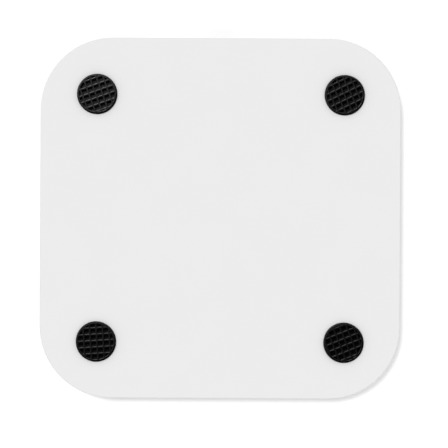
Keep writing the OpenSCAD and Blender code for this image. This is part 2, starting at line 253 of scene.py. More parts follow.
def makeSilicone():
    finish = Finish("matt_grip_silicone", Specular_IOR_Level=silicone["specular"])
    cloud = finish.grain(silicone["cloud"])
    return finish.dressed(cloud, finish.grain(silicone["grain"], detail=4), silicone)


metal = {
    "cloud": 1.2 * mm,
    "line": 0.05 * mm,      # width of the lines that drawing and rolling leave
    "depth": 0.001 * mm,
    "bump": 0.5,
}
zinc = ((0.60, 0.58, 0.54), (0.70, 0.68, 0.64))
nickel = ((0.62, 0.6, 0.57), (0.7, 0.68, 0.65))
gold = ((0.86, 0.57, 0.2), (0.95, 0.68, 0.3))
drawnAlongX = (0.05, 1, 1)
drawnAlongY = (1, 0.05, 1)


def makeMetal(name, tones, roughness, stretch=(1, 1, 1)):
    finish = Finish(name, Metallic=1.0)
    lines = finish.grain(metal["line"], detail=3, stretch=stretch)
    look = {**metal, "tones": tones, "roughness": roughness}
    return finish.dressed(finish.grain(metal["cloud"], detail=3), lines, look)


dull = {"cloud": 3 * mm, "bump": 0.6}


def makeDull(name, tones, roughness, grain, depth, **plain):
    finish = Finish(name, **plain)
    cloud = finish.grain(dull["cloud"], detail=3)
    look = {**dull, "tones": tones, "roughness": roughness, "depth": depth}
    return finish.dressed(cloud, finish.grain(grain, detail=4), look)


clearPlastic = {
    "tones": ((0.80, 0.83, 0.86), (0.9, 0.92, 0.94)),
    "swirl": 0.6 * mm,
    "grain": 0.1 * mm,
    "roughness": (0.16, 0.3),
    "depth": 0.001 * mm,
    "bump": 0.4,
    "transmission": 0.55,
    "ior": 1.49,
}


def makeClear():
    finish = Finish("milky_light_pipe", Transmission_Weight=clearPlastic["transmission"],
                    IOR=clearPlastic["ior"])
    swirl = finish.grain(clearPlastic["swirl"])
    finish.shaded(swirl, clearPlastic["tones"])
    finish.spread(swirl, *clearPlastic["roughness"])
    finish.relief(finish.grain(clearPlastic["grain"]), clearPlastic)
    return finish.material


board = {
    "mask": (0.006, 0.06, 0.03),
    "maskOverCopper": (0.013, 0.12, 0.06),
    "gilt": (0.83, 0.58, 0.22),
    "edge": (0.30, 0.27, 0.12),
    "pitch": 0.6 * mm,             # from one trace to the next
    "traceHalf": 0.2,              # half a trace's width, as a share of the pitch
    "traceCore": 0.8,              # share of that half width before its edge fades
    "run": 5.3 * mm,               # how far a trace goes before it ends at a via
    "stagger": 0.37,               # how much later each next trace ends, as a share of the run
    "empty": 0.4,                  # share of the places that stay without a trace
    "bundle": 5 * mm,              # size of the regions whose traces all run one way
    "bundleEdge": (0.495, 0.505),  # noise values between which one way gives way to the other
    "via": 0.2 * mm,               # a via's radius
    "viaCore": 0.85,               # share of that radius before its edge fades
    "viaHeight": 0.6,              # heights in the relief, as shares of a trace's height
    "weaveHeight": 0.3,
    "weave": 0.35 * mm,
    "upright": (0.3, 0.7),         # a normal's Z is less than these at the board's edges
    "roughness": (0.28, 0.4),
    "coat": 0.35,
    "coatRoughness": 0.15,
    "depth": 0.012 * mm,
    "bump": 0.8,
}


def boardTraces(finish, across, along):
    # parallel traces that run along one axis, and the vias that end them
    row = finish.maths("ROUND", across / board["pitch"])
    off = abs(across / board["pitch"] - row)
    place = along / board["run"] + row * board["stagger"]
    block = finish.maths("ROUND", place)
    chance = finish.node("ShaderNodeTexWhiteNoise", values={"Vector": finish.vector(row, block)})
    kept = finish.maths("GREATER_THAN", chance, board["empty"])
    half = board["traceHalf"]
    trace = (1 - finish.ramp(off, half * board["traceCore"], half)) * kept
    toEnd = (0.5 - abs(place - block)) * board["run"] - board["via"]
    middle = finish.length(finish.vector(toEnd, off * board["pitch"]))
    via = (1 - finish.ramp(middle, board["via"] * board["viaCore"], board["via"])) * kept
    return trace, via


def makeBoardLaminate():
    # solder mask, lighter where copper runs under it, with gilt vias, and bare laminate edges
    finish = Finish("green_solder_mask", Coat_Roughness=board["coatRoughness"])
    x = finish.part(finish.place, "X")
    y = finish.part(finish.place, "Y")
    way = finish.ramp(finish.grain(board["bundle"], detail=0), *board["bundleEdge"])
    traceX, viaX = boardTraces(finish, y, x)
    traceY, viaY = boardTraces(finish, x, y)
    trace = traceX * way + traceY * (1 - way)
    via = viaX * way + viaY * (1 - way)
    normal = finish.node("ShaderNodeNewGeometry", out="Normal")
    edge = 1 - finish.ramp(abs(finish.part(normal, "Z")), *board["upright"])
    mask = finish.mixed(trace, board["mask"], board["maskOverCopper"])
    gilded = finish.mixed(via, mask, board["gilt"])
    finish.shaded(edge, (gilded, board["edge"]))
    finish.feed("Metallic", via * (1 - edge))
    weave = finish.grain(board["weave"], detail=1)
    finish.spread(weave, *board["roughness"])
    finish.feed("Coat Weight", board["coat"] * (1 - via) * (1 - edge))
    finish.relief(trace + via * board["viaHeight"] + weave * board["weaveHeight"], board)
    return finish.material


tin = {"colour": (0.63, 0.62, 0.60), "roughness": 0.32}
tinnedPart = {
    "rows": 2,                # rows along Y
    "terminal": 0.4 * mm,     # length of a tinned end
    "fade": 0.02 * mm,        # half of the stretch where the tin gives way to the body
    "speckle": 0.09 * mm,
    "speckleRoughness": 0.15,
    "depth": 0.004 * mm,
    "bump": 0.6,
}


def makeTinnedPart(node, length, tones, roughness):
    # chip parts in rows along Y, each with a tinned end at both its ends
    low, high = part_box(node)
    rows = tinnedPart["rows"]
    first = low.y + length / 2
    step = (high.y - low.y - length) / (rows - 1)
    finish = Finish(node + "_finish")
    along = finish.part(finish.place, "Y")
    nearest = finish.maths("ROUND", (along - first) / step)
    row = finish.node("ShaderNodeClamp", values={"Value": nearest, "Min": 0, "Max": rows - 1})
    reach = abs(along - first - row * step)
    body = length / 2 - tinnedPart["terminal"]
    end = finish.ramp(reach, body - tinnedPart["fade"], body + tinnedPart["fade"])
    speckle = finish.grain(tinnedPart["speckle"], detail=4)
    finish.shaded(end, (finish.mixed(speckle, *tones), tin["colour"]))
    finish.feed("Metallic", end)
    finish.feed("Roughness", roughness + speckle * tinnedPart["speckleRoughness"]
                - end * (roughness - tin["roughness"]))
    finish.relief(speckle, tinnedPart)
    return finish.material


copper = {
    "enamel": ((0.42, 0.15, 0.06), (0.78, 0.36, 0.17)),
    "strand": 0.16 * mm,
    "alongLead": (1, 0.08, 1),     # the leads' strands run along Y
    "tinned": 1.3 * mm,            # how much of a lead's end is tinned
    "fade": 0.1 * mm,              # the stretch where the enamel gives way to the tin
    "roughness": (0.24, 0.4),
    "coat": 0.5,
    "coatRoughness": 0.2,
    "metallic": 0.85,
    "depth": 0.01 * mm,
    "bump": 0.7,
}
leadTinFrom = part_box("coil_leads")[1].y - copper["tinned"]
outOfReach = 1.0               # farther along Y than any wire goes


def makeCopper(name, stretch=(1, 1, 1), tinnedFrom=outOfReach):
    # enamelled litz, darker where the enamel is thick, and tinned beyond a place along Y
    finish = Finish(name, Metallic=copper["metallic"], Coat_Roughness=copper["coatRoughness"])
    strand = finish.grain(copper["strand"], stretch=stretch)
    bare = finish.ramp(finish.part(finish.place, "Y"), tinnedFrom, tinnedFrom + copper["fade"])
    finish.shaded(bare, (finish.mixed(strand, *copper["enamel"]), tin["colour"]))
    finish.feed("Coat Weight", copper["coat"] * (1 - bare))
    finish.spread(strand, *copper["roughness"])
    finish.relief(strand, copper)
    return finish.material


foam = {
    "tones": ((0.02, 0.02, 0.022), (0.07, 0.07, 0.075)),
    "cell": 0.28 * mm,
    "cellGain": 3.0,
    "grain": 0.2 * mm,
    "roughness": (0.85, 0.97),
    "depth": 0.08 * mm,
    "bump": 1.0,
    "specular": 0.2,
}


def makeFoam():
    finish = Finish("closed_cell_foam", Specular_IOR_Level=foam["specular"])
    values = {"Vector": finish.place, "Scale": 1 / foam["cell"]}
    edges = {"feature": "DISTANCE_TO_EDGE"}
    cell = finish.node("ShaderNodeTexVoronoi", edges, values, out="Distance")
    finish.shaded(cell * foam["cellGain"], foam["tones"])
    finish.spread(finish.grain(foam["grain"]), *foam["roughness"])
    finish.relief(cell, foam)
    return finish.material


adhesive = {
    "tones": ((0.62, 0.56, 0.42), (0.74, 0.69, 0.56)),
    "fibre": 0.5 * mm,
    "alongFibre": (1, 0.35, 1),
    "roughness": (0.35, 0.55),
    "coat": 0.3,
    "coatRoughness": 0.25,
    "depth": 0.005 * mm,
    "bump": 0.5,
}


def makeAdhesive():
    finish = Finish("double_sided_film", Coat_Weight=adhesive["coat"],
                    Coat_Roughness=adhesive["coatRoughness"])
    fibre = finish.grain(adhesive["fibre"], detail=4, stretch=adhesive["alongFibre"])
    return finish.dressed(fibre, fibre, adhesive)


chip = {
    "tones": ((0.014, 0.014, 0.016), (0.022, 0.022, 0.025)),
    "cloud": 1.5 * mm,
    "grain": 0.05 * mm,
    "grainHeight": 0.2,        # in the relief, as a share of the dimple's depth
    "roughness": (0.45, 0.65),
    "dimple": 0.2 * mm,        # the dimple's radius
    "dimpleFloor": 0.8,        # its floor's radius, as a share of that
    "dimpleShine": 0.6,        # how much of the least roughness its floor loses
    "inset": 0.62 * mm,        # how far it is from the chip's two nearest sides
    "depth": 0.02 * mm,
    "bump": 0.8,
}
controllerSize = 7 * mm
transistorSize = 3.3 * mm


def makeChip(node, size):
    # moulded resin with a polished dimple by each chip's first lead, for one chip or a 2 x 2 block
    low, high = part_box(node)
    finish = Finish(node + "_resin")
    places = []
    for axis, start, stop in (("X", low.x, high.x), ("Y", low.y, high.y)):
        step = max(stop - start - size, size)
        inside = finish.part(finish.place, axis) - start
        places.append(finish.maths("FLOORED_MODULO", inside, step) - chip["inset"])
    middle = finish.length(finish.vector(*places))
    dimple = 1 - finish.ramp(middle, chip["dimple"] * chip["dimpleFloor"], chip["dimple"])
    finish.shaded(finish.grain(chip["cloud"]), chip["tones"])
    grain = finish.grain(chip["grain"], detail=3)
    least, most = chip["roughness"]
    shine = dimple * least * chip["dimpleShine"]
    finish.feed("Roughness", least + grain * (most - least) - shine)
    finish.relief(grain * (1 - dimple) * chip["grainHeight"] - dimple, chip)
    return finish.material


slotFinishes = {
    "case_plastic": makeCasePlastic(),
    "foot_rubber": makeFootRubber(),
    "grip_silicone": makeSilicone(),
    "adhesive_film": makeAdhesive(),
    "clear_plastic": makeClear(),
    "board_laminate": makeBoardLaminate(),
    "foam": makeFoam(),
    "coil_copper": makeCopper("enamelled_coil_litz"),
    "lead_copper": makeCopper("flattened_lead_litz", copper["alongLead"], leadTinFrom),
    "plated_steel": makeMetal("zinc_plated_steel", zinc, (0.25, 0.42)),
    "inlet_shell_steel": makeMetal("nickel_plated_shell", nickel, (0.2, 0.34), drawnAlongY),
    "contact_gold": makeMetal("gold_plated_contact", gold, (0.18, 0.3), drawnAlongY),
    "crystal_can": makeMetal("crystal_can", zinc, (0.18, 0.3), drawnAlongX),
    "thermal_silicone": makeDull("thermal_gap_filler", ((0.30, 0.36, 0.44), (0.38, 0.45, 0.54)),
                                 (0.6, 0.8), 0.12 * mm, 0.01 * mm),
    "inlet_plastic": makeDull("inlet_black_plastic", ((0.012, 0.012, 0.013), (0.02, 0.02, 0.021)),
                              (0.38, 0.55), 0.06 * mm, 0.002 * mm),
    "inductor_powder": makeDull("pressed_iron_powder", ((0.06, 0.06, 0.065), (0.12, 0.12, 0.125)),
                                (0.5, 0.75), 0.07 * mm, 0.006 * mm, Metallic=0.3),
    "led_resin": makeDull("led_package", ((0.74, 0.73, 0.68), (0.84, 0.83, 0.78)),
                          (0.3, 0.45), 0.08 * mm, 0.002 * mm),
    "ferrite": makeDull("sintered_ferrite", ((0.022, 0.021, 0.024), (0.045, 0.043, 0.048)),
                        (0.3, 0.55), 0.14 * mm, 0.006 * mm, Metallic=0.15),
    "sensor_glass": makeDull("sensor_bead", ((0.30, 0.11, 0.03), (0.42, 0.17, 0.05)),
                             (0.08, 0.16), 0.3 * mm, 0.002 * mm, Coat_Weight=0.6),
    "sensor_wire": makeDull("sensor_insulation", ((0.34, 0.02, 0.016), (0.42, 0.03, 0.022)),
                            (0.35, 0.5), 0.08 * mm, 0.002 * mm),
}
# finishes that follow the places of one node's own parts
nodeFinishes = {
    "controller_chip": makeChip("controller_chip", controllerSize),
    "power_transistors": makeChip("power_transistors", transistorSize),
}
# node: length of a part, its body's tones and roughness
tinnedParts = {
    "resonance_capacitors": (3.2 * mm, ((0.36, 0.24, 0.13), (0.46, 0.32, 0.19)), 0.45),
    "filter_capacitors": (2.0 * mm, ((0.30, 0.20, 0.12), (0.40, 0.28, 0.17)), 0.45),
    "chip_resistors": (1.6 * mm, ((0.012, 0.012, 0.015), (0.03, 0.03, 0.034)), 0.3),
}
for node, (length, tones, roughness) in tinnedParts.items():
    nodeFinishes[node] = makeTinnedPart(node, length, tones, roughness)
tell("finishes made")


# Shapes

def finishOf(node):
    return nodeFinishes[node] if node in nodeFinishes else slotFinishes[slotOf[node]]


def fresh(name, data):
    made = bpy.data.objects.new(name, data)
    bpy.context.scene.collection.objects.link(made)
    return made


def meshFrom(name, bm):
    mesh = bpy.data.meshes.new(name)
    bm.to_mesh(mesh)
    bm.free()
    return mesh


def smoothed(mesh, angle):
    mesh.shade_smooth()
    mesh.set_sharp_from_angle(angle=math.radians(angle))
    return mesh


def settle(piece, node):
    # the piece stands for a CAD node, in that node's finish
    piece.data.materials.clear()
    piece.data.materials.append(finishOf(node))
    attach(piece, "root")
    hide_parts(node)
    return piece


def openTree(name, kinds):
    # a new tree's graph, its inputs' identifiers by name, and a way to read each input
    tree = bpy.data.node_groups.new(name, "GeometryNodeTree")
    tree.interface.new_socket("Geometry", in_out="INPUT", socket_type="NodeSocketGeometry")
    tree.interface.new_socket("Geometry", in_out="OUTPUT", socket_type="NodeSocketGeometry")
    inputs = {}
    for key, kind in kinds.items():
        socket = tree.interface.new_socket(key, in_out="INPUT", socket_type="NodeSocket" + kind)
        inputs[key] = socket.identifier
    graph = Graph(tree)
    source = graph.node("NodeGroupInput").socket.node
    return graph, inputs, lambda key: Wire(graph, source.outputs[key])


def closeTree(graph, shape, material):
    whole = graph.node("GeometryNodeRealizeInstances", values={"Geometry": shape})
    values = {"Geometry": whole, "Material": material}
    coloured = graph.node("GeometryNodeSetMaterial", values=values)
    graph.node("NodeGroupOutput", values={"Geometry": coloured})


def grow(piece, tree, inputs, settings):
    # puts a tree on a piece as a modifier, and sets its inputs
    modifier = piece.modifiers.new(tree.name, "NODES")
    modifier.node_group = tree
    for key, value in settings.items():
        modifier[inputs[key]] = value


def applied(piece, name):
    # a piece's evaluated mesh as a plain mesh; the piece goes, and its modifiers with it
    depsgraph = bpy.context.evaluated_depsgraph_get()
    mesh = bpy.data.meshes.new_from_object(piece.evaluated_get(depsgraph), depsgraph=depsgraph)
    mesh.name = name
    bpy.data.objects.remove(piece)
    return mesh


# Rounded edges of the CAD nodes that keep their own shape

edgeRule = {
    "weld": 0.0005 * mm,      # corners nearer than this are one
    "flat": 0.4,              # faces that lean less than this to each other are one, in degrees
    "sharp": 30,              # an edge is rounded past this angle, in degrees
    "segments": 2,
    "weight": 60,             # how much a large face decides the shading of its corners
}
sharpOf = {"grip_ring": 70}   # for a node that is rounded already
edgeWidths = {
    "bottom_cover": 0.07 * mm,
    "top_cover": 0.07 * mm,
    "grip_ring": 0.03 * mm,
    "foot_adhesive_discs": 0.02 * mm,
    "light_pipe": 0.12 * mm,
    "main_board": 0.04 * mm,
    "board_screws": 0.07 * mm,
    "usb_socket_shell": 0.05 * mm,
    "usb_socket_tongue": 0.08 * mm,
    "usb_socket_contacts": 0.012 * mm,
    "controller_chip": 0.06 * mm,
    "power_transistors": 0.06 * mm,
    "resonance_capacitors": 0.08 * mm,
    "input_inductor": 0.25 * mm,
    "filter_capacitors": 0.07 * mm,
    "chip_resistors": 0.04 * mm,
    "clock_crystal": 0.15 * mm,
    "status_led": 0.08 * mm,
    "coil_leads": 0.12 * mm,
    "coil_adhesive_film": 0.02 * mm,
    "ferrite_plate": 0.12 * mm,
    "temperature_sensor": 0.3 * mm,
    "sensor_leads": 0.03 * mm,
    "case_screws": 0.08 * mm,
    "thermal_pad": 0.1 * mm,
}


def polish(node, width):
    piece = frame["nodes"][node]
    piece.data.shade_smooth()
    for slot in piece.material_slots:
        slot.material = finishOf(node)
    weld = piece.modifiers.new("weld", "WELD")
    weld.merge_threshold = edgeRule["weld"]
    flat = piece.modifiers.new("flat", "DECIMATE")
    flat.decimate_type = "DISSOLVE"
    flat.angle_limit = math.radians(edgeRule["flat"])
    edge = piece.modifiers.new("edge", "BEVEL")
    edge.width = width
    edge.segments = edgeRule["segments"]
    edge.limit_method = "ANGLE"
    edge.angle_limit = math.radians(sharpOf.get(node, edgeRule["sharp"]))
    even = piece.modifiers.new("even", "WEIGHTED_NORMAL")
    even.weight = edgeRule["weight"]


for node, width in edgeWidths.items():
    polish(node, width)
tell("CAD nodes finished")


# Feet with a waffle tread

foot = {
    "pitch": 1.6 * mm,
    "across": 8,              # pits along a side of the grid, even: its middle is a rib crossing
    "halfPit": 0.57 * mm,     # half a pit's width where its wall is straight
    "depth": 0.35 * mm,
    "flare": 0.15 * mm,       # how much wider it opens over the rib's rounded crest
    "flareDepth": 0.13 * mm,
    "draft": 0.05 * mm,       # how much narrower it is at its floor
    "corner": 0.12 * mm,
    "mouthCorner": 0.216 * mm,
    "cornerSteps": 3,
    "rim": 4.42 * mm,         # pits end at this radius
    "below": 0.06 * mm,       # how far the pit's cutter reaches out of the tread
    "rimBelow": 0.12 * mm,    # how far the rim's does
    "rimPast": 0.105 * mm,    # and how far it goes on past the pits' floors
    "bevel": 0.4 * mm,
    "bevelSteps": 8,
    "backEdge": 0.08 * mm,
    "backSteps": 3,
    "segments": 96,
    "smoothTo": 40,           # faces that lean less than this to each other look smooth
}
# where a pit's side is sampled, as shares of its depth
pitSamples = (0, 0.02, 0.07, 0.14, 0.23, 0.37, 0.7, 0.9, 1)
# turn of the tread, and place of its nearest rib crossing, as each foot was stuck on
footTreads = {
    "foot_rear_right": (-20, 0.31 * mm, 0.67 * mm),
    "foot_rear_left": (-26, 0.1 * mm, 0.4 * mm),
    "foot_front_right": (-4, -0.3 * mm, 0.2 * mm),
    "foot_front_left": (-22, -0.56 * mm, -0.72 * mm),
}


def stack(bm, rings):
    # skins rings of points that lie one above another, and closes the two ends
    made = [[bm.verts.new(place) for place in ring] for ring in rings]
    for low, high in zip(made, made[1:]):
        for step in range(len(low)):
            after = (step + 1) % len(low)
            bm.faces.new((low[step], low[after], high[after], high[step]))
    bm.faces.new(made[0][::-1])
    bm.faces.new(made[-1])
    bmesh.ops.recalc_face_normals(bm, faces=bm.faces)


def circle(centre, radius, height):
    ring = []
    for step in range(foot["segments"]):
        angle = 2 * math.pi * step / foot["segments"]
        x = centre[0] + radius * math.cos(angle)
        y = centre[1] + radius * math.sin(angle)
        ring.append((x, y, height))
    return ring


def roundedSquare(half, corner, height):
    ring = []
    steps = foot["cornerSteps"]
    for quarter in range(4):
        sideX = 1 if quarter in (0, 3) else -1
        sideY = 1 if quarter in (0, 1) else -1
        for step in range(steps + 1):
            angle = math.pi / 2 * (quarter + step / steps)
            x = sideX * (half - corner) + corner * math.cos(angle)
            y = sideY * (half - corner) + corner * math.sin(angle)
            ring.append((x, y, height))
    return ring


def arc(centre, radius, start, end, steps):
    points = []
    for step in range(steps + 1):
        angle = math.radians(start + (end - start) * step / steps)
        points.append((centre[0] + radius * math.cos(angle), centre[1] + radius * math.sin(angle)))
    return points


def pitWiden(height):
    # how far a pit's side stands out of its straight wall, at a height over the tread's plane
    if height > foot["flareDepth"]:
        share = (height - foot["flareDepth"]) / (foot["depth"] - foot["flareDepth"])
        return -foot["draft"] * share ** 3
    share = 1 - height / foot["flareDepth"]
    return foot["flare"] * (1 - math.sqrt(1 - share * share))


def makePitCutter():
    # one pit as a solid, standing on the tread's plane at height 0
    rings = [roundedSquare(foot["halfPit"] + foot["flare"], foot["mouthCorner"], -foot["below"])]
    for share in pitSamples:
        height = share * foot["depth"]
        widen = pitWiden(height)
        rings.append(roundedSquare(foot["halfPit"] + widen, foot["corner"] + widen, height))
    bm = bmesh.new()
    stack(bm, rings)
    return fresh("pit_cutter", meshFrom("pit_cutter", bm))


def makeRimCutter():
    # what the pits are kept within: a round plug that flares as they do
    middle = (0, 0)
    rings = [circle(middle, foot["rim"] + foot["flare"], -foot["rimBelow"])]
    for share in pitSamples[:-1]:
        height = share * foot["depth"]
        rings.append(circle(middle, foot["rim"] + pitWiden(height), height))
    rings.append(circle(middle, foot["rim"] - foot["draft"], foot["depth"] + foot["rimPast"]))
    bm = bmesh.new()
    stack(bm, rings)
    return fresh("rim_cutter", meshFrom("rim_cutter", bm))


def makeTreadTree():
    # cuts a grid of pits, kept within the rim, out of a foot
    kinds = {"Pit": "Object", "Rim": "Object", "Pitch": "Float", "Across": "Int", "Turn": "Float",
             "Shift U": "Float", "Shift V": "Float", "Centre": "Vector", "Material": "Material"}
    graph, inputs, given = openTree("waffle_tread", kinds)
    side = given("Pitch") * (given("Across") - 1)
    values = {"Size X": side, "Size Y": side,
              "Vertices X": given("Across"), "Vertices Y": given("Across")}
    grid = graph.node("GeometryNodeMeshGrid", values=values, out="Mesh")
    shift = graph.vector(given("Shift U"), given("Shift V"))
    moved = graph.node("GeometryNodeTransform", values={"Geometry": grid, "Translation": shift})
    pit = graph.node("GeometryNodeObjectInfo", values={"Object": given("Pit")}, out="Geometry")
    rim = graph.node("GeometryNodeObjectInfo", values={"Object": given("Rim")}, out="Geometry")
    copies = graph.node("GeometryNodeInstanceOnPoints", values={"Points": moved, "Instance": pit})
    pits = graph.node("GeometryNodeRealizeInstances", values={"Geometry": copies})
    common = {"operation": "INTERSECT", "solver": "EXACT"}
    kept = graph.node("GeometryNodeMeshBoolean", common, out="Mesh")
    for solid in (pits, rim):
        graph.tree.links.new(solid.socket, kept.socket.node.inputs["Mesh 2"])
    turn = graph.vector(z=given("Turn"))
    values = {"Geometry": kept, "Translation": given("Centre"), "Rotation": turn}
    placed = graph.node("GeometryNodeTransform", values=values)
    less = {"operation": "DIFFERENCE", "solver": "EXACT"}
    values = {"Mesh 1": given("Geometry"), "Mesh 2": placed}
    cut = graph.node("GeometryNodeMeshBoolean", less, values, out="Mesh")
    closeTree(graph, cut, given("Material"))
    return graph.tree, inputs


def makeFootBlank(node, low, centre, high):
    # an uncut foot, with a large bevel round its tread and a small one at its back
    radius = (high.x - low.x) / 2
    bevel = foot["bevel"]
    back = foot["backEdge"]
    outline = arc((radius - bevel, low.z + bevel), bevel, -90, 0, foot["bevelSteps"])
    outline += arc((radius - back, high.z - back), back, 0, 90, foot["backSteps"])
    bm = bmesh.new()
    stack(bm, [circle(centre, reach, height) for reach, height in outline])
    return fresh(node + "_blank", meshFrom(node + "_blank", bm))


def makeFeet():
    tree, inputs = makeTreadTree()
    pit = makePitCutter()
    rim = makeRimCutter()
    for node, (turn, shiftU, shiftV) in footTreads.items():
        low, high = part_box(node)
        centre = ((low.x + high.x) / 2, (low.y + high.y) / 2)
        blank = makeFootBlank(node, low, centre, high)
        grow(blank, tree, inputs, {
            "Pit": pit, "Rim": rim, "Pitch": foot["pitch"], "Across": foot["across"],
            "Turn": math.radians(turn), "Shift U": shiftU, "Shift V": shiftV,
            "Centre": (*centre, low.z), "Material": finishOf(node),
        })
        mesh = smoothed(applied(blank, node + "_tread"), foot["smoothTo"])
        settle(fresh(node + "_tread", mesh), node)
    for cutter in (pit, rim):
        bpy.data.objects.remove(cutter)
    tell("feet made")


makeFeet()


# Coil, wound from litz

coil = {
    "turns": 9.96,
    "startTurn": 0.25,        # the inner end lies towards +Y
    "spacing": 1.08,          # from one turn to the next, in wire diameters
    "clear": 0.01 * mm,       # how much less than the CAD wire's its radius is
    "strands": 9,             # bundles that show round the wire
    "lobe": 0.055 * mm,       # how deep the hollows between them are
    "lay": 24 * mm,           # wire that one full twist takes up
    "pointsPerTurn": 110,
    "roundPoints": 36,
}
mergeWithin = 0.0002 * mm


def makeLitzTree():
    # a flat spiral of twisted wire
    kinds = {"Points": "Int", "Turns": "Float", "Start Turn": "Float", "Inner Radius": "Float",
             "Outer Radius": "Float", "Height": "Float", "Wire Radius": "Float", "Lobe": "Float",
             "Strands": "Float", "Round Points": "Int", "Lay": "Float", "Material": "Material"}
    graph, inputs, given = openTree("litz_spiral", kinds)
    line = graph.node("GeometryNodeMeshLine", values={"Count": given("Points")})
    thread = graph.node("GeometryNodeMeshToCurve", values={"Mesh": line})
    share = graph.node("GeometryNodeInputIndex") / (given("Points") - 1)
    angle = (given("Start Turn") + share * given("Turns")) * (2 * math.pi)
    radius = given("Inner Radius") + share * (given("Outer Radius") - given("Inner Radius"))
    x = radius * graph.maths("COSINE", angle)
    y = radius * graph.maths("SINE", angle)
    values = {"Geometry": thread, "Position": graph.vector(x, y, given("Height"))}
    spiral = graph.node("GeometryNodeSetPosition", values=values)
    along = graph.node("GeometryNodeSplineParameter", out="Length")
    values = {"Curve": spiral, "Tilt": along / given("Lay") * (2 * math.pi)}
    twisted = graph.node("GeometryNodeSetCurveTilt", values=values)
    values = {"Resolution": given("Round Points"), "Radius": given("Wire Radius")}
    ring = graph.node("GeometryNodeCurvePrimitiveCircle", values=values)
    around = graph.node("GeometryNodeSplineParameter", out="Factor")
    ripple = abs(graph.maths("SINE", around * given("Strands") * math.pi))
    size = 1 - (1 - ripple) * given("Lobe") / given("Wire Radius")
    values = {0: graph.node("GeometryNodeInputPosition"), "Scale": size}
    lobed = graph.node("ShaderNodeVectorMath", {"operation": "SCALE"}, values)
    profile = graph.node("GeometryNodeSetPosition", values={"Geometry": ring, "Position": lobed})
    values = {"Curve": twisted, "Profile Curve": profile, "Fill Caps": True}
    wire = graph.node("GeometryNodeCurveToMesh", values=values)
    smooth = graph.node("GeometryNodeSetShadeSmooth", values={"Geometry": wire})
    closeTree(graph, smooth, given("Material"))
    return graph.tree, inputs


def outward(mesh):
    # merged, with every face turned outwards
    bm = bmesh.new()
    bm.from_mesh(mesh)
    bmesh.ops.remove_doubles(bm, verts=bm.verts, dist=mergeWithin)
    bmesh.ops.recalc_face_normals(bm, faces=bm.faces)
    bm.to_mesh(mesh)
    bm.free()
    return mesh


def makeCoil():
    low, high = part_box("coil_winding")
    wire = (high.z - low.z) / 2
    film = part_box("coil_adhesive_film")[1].z
    outer = (high.x - low.x) / 2 - wire
    inner = outer - 2 * wire * coil["spacing"] * coil["turns"]
    tree, inputs = makeLitzTree()
    blank = fresh("litz_blank", bpy.data.meshes.new("litz_blank"))
    grow(blank, tree, inputs, {
        "Points": int(coil["turns"] * coil["pointsPerTurn"]), "Turns": coil["turns"],
        "Start Turn": coil["startTurn"], "Inner Radius": inner, "Outer Radius": outer,
        "Height": film + wire, "Wire Radius": wire - coil["clear"], "Lobe": coil["lobe"],
        "Strands": float(coil["strands"]), "Round Points": coil["roundPoints"],
        "Lay": coil["lay"], "Material": finishOf("coil_winding"),
    })
    mesh = outward(applied(blank, "litz_coil"))
    mesh.shade_smooth()
    settle(fresh("litz_coil", mesh), "coil_winding")
    tell("coil wound")


makeCoil()


# Foam spacer, die-cut from a soft sheet

spacer = {"voxel": 0.5 * mm, "smoothing": 0.5, "passes": 4, "fill": 0.9}


def makeSpacer():
    mesh = outward(frame["nodes"]["foam_spacer"].data.copy())
    blank = fresh("foam_blank", mesh)
    remesh = blank.modifiers.new("remesh", "REMESH")
    remesh.mode = "VOXEL"
    remesh.voxel_size = spacer["voxel"]
    soften = blank.modifiers.new("soften", "SMOOTH")
    soften.factor = spacer["smoothing"]
    soften.iterations = spacer["passes"]
    mesh = applied(blank, "soft_foam_spacer")
    mesh.shade_smooth()
    piece = settle(fresh("soft_foam_spacer", mesh), "foam_spacer")
    tell("foam spacer made")


makeSpacer()


# Solder lands round the square chips

lands = {
    "pitch": 0.5 * mm,
    "width": 0.26 * mm,
    "length": 0.62 * mm,
    "height": 0.09 * mm,
    "inset": 0.4 * mm,         # how far a land reaches under the chip
    "lift": 0.01 * mm,
    "edge": 0.02 * mm,
    "edgeSegments": 2,
    "controllerSide": 12,      # lands along one side
    "transistorSide": 5,
    "smoothTo": 50,
}


def landPlaces(low, high, perSide):
    # places and turns of the lands round one chip
    places = []
    for index in range(perSide):
        along = (index - (perSide - 1) / 2) * lands["pitch"]
        for quarter in range(4):
            angle = quarter * math.pi / 2
            half = (high[quarter % 2] - low[quarter % 2]) / 2
            out = Vector((half + lands["length"] / 2 - lands["inset"], along, 0))
            places.append(((low + high) / 2 + Matrix.Rotation(angle, 3, "Z") @ out, angle))
    return places


def makeLandTree():
    # one land at each point, turned as the point says
    kinds = {"Length": "Float", "Width": "Float", "Height": "Float", "Material": "Material"}
    graph, inputs, given = openTree("land_rows", kinds)
    size = graph.vector(given("Length"), given("Width"), given("Height"))
    land = graph.node("GeometryNodeMeshCube", values={"Size": size}, out="Mesh")
    turn = graph.node("GeometryNodeInputNamedAttribute", {"data_type": "FLOAT"}, {"Name": "turn"})
    values = {"Points": given("Geometry"), "Instance": land, "Rotation": graph.vector(z=turn)}
    rows = graph.node("GeometryNodeInstanceOnPoints", values=values)
    closeTree(graph, rows, given("Material"))
    return graph.tree, inputs


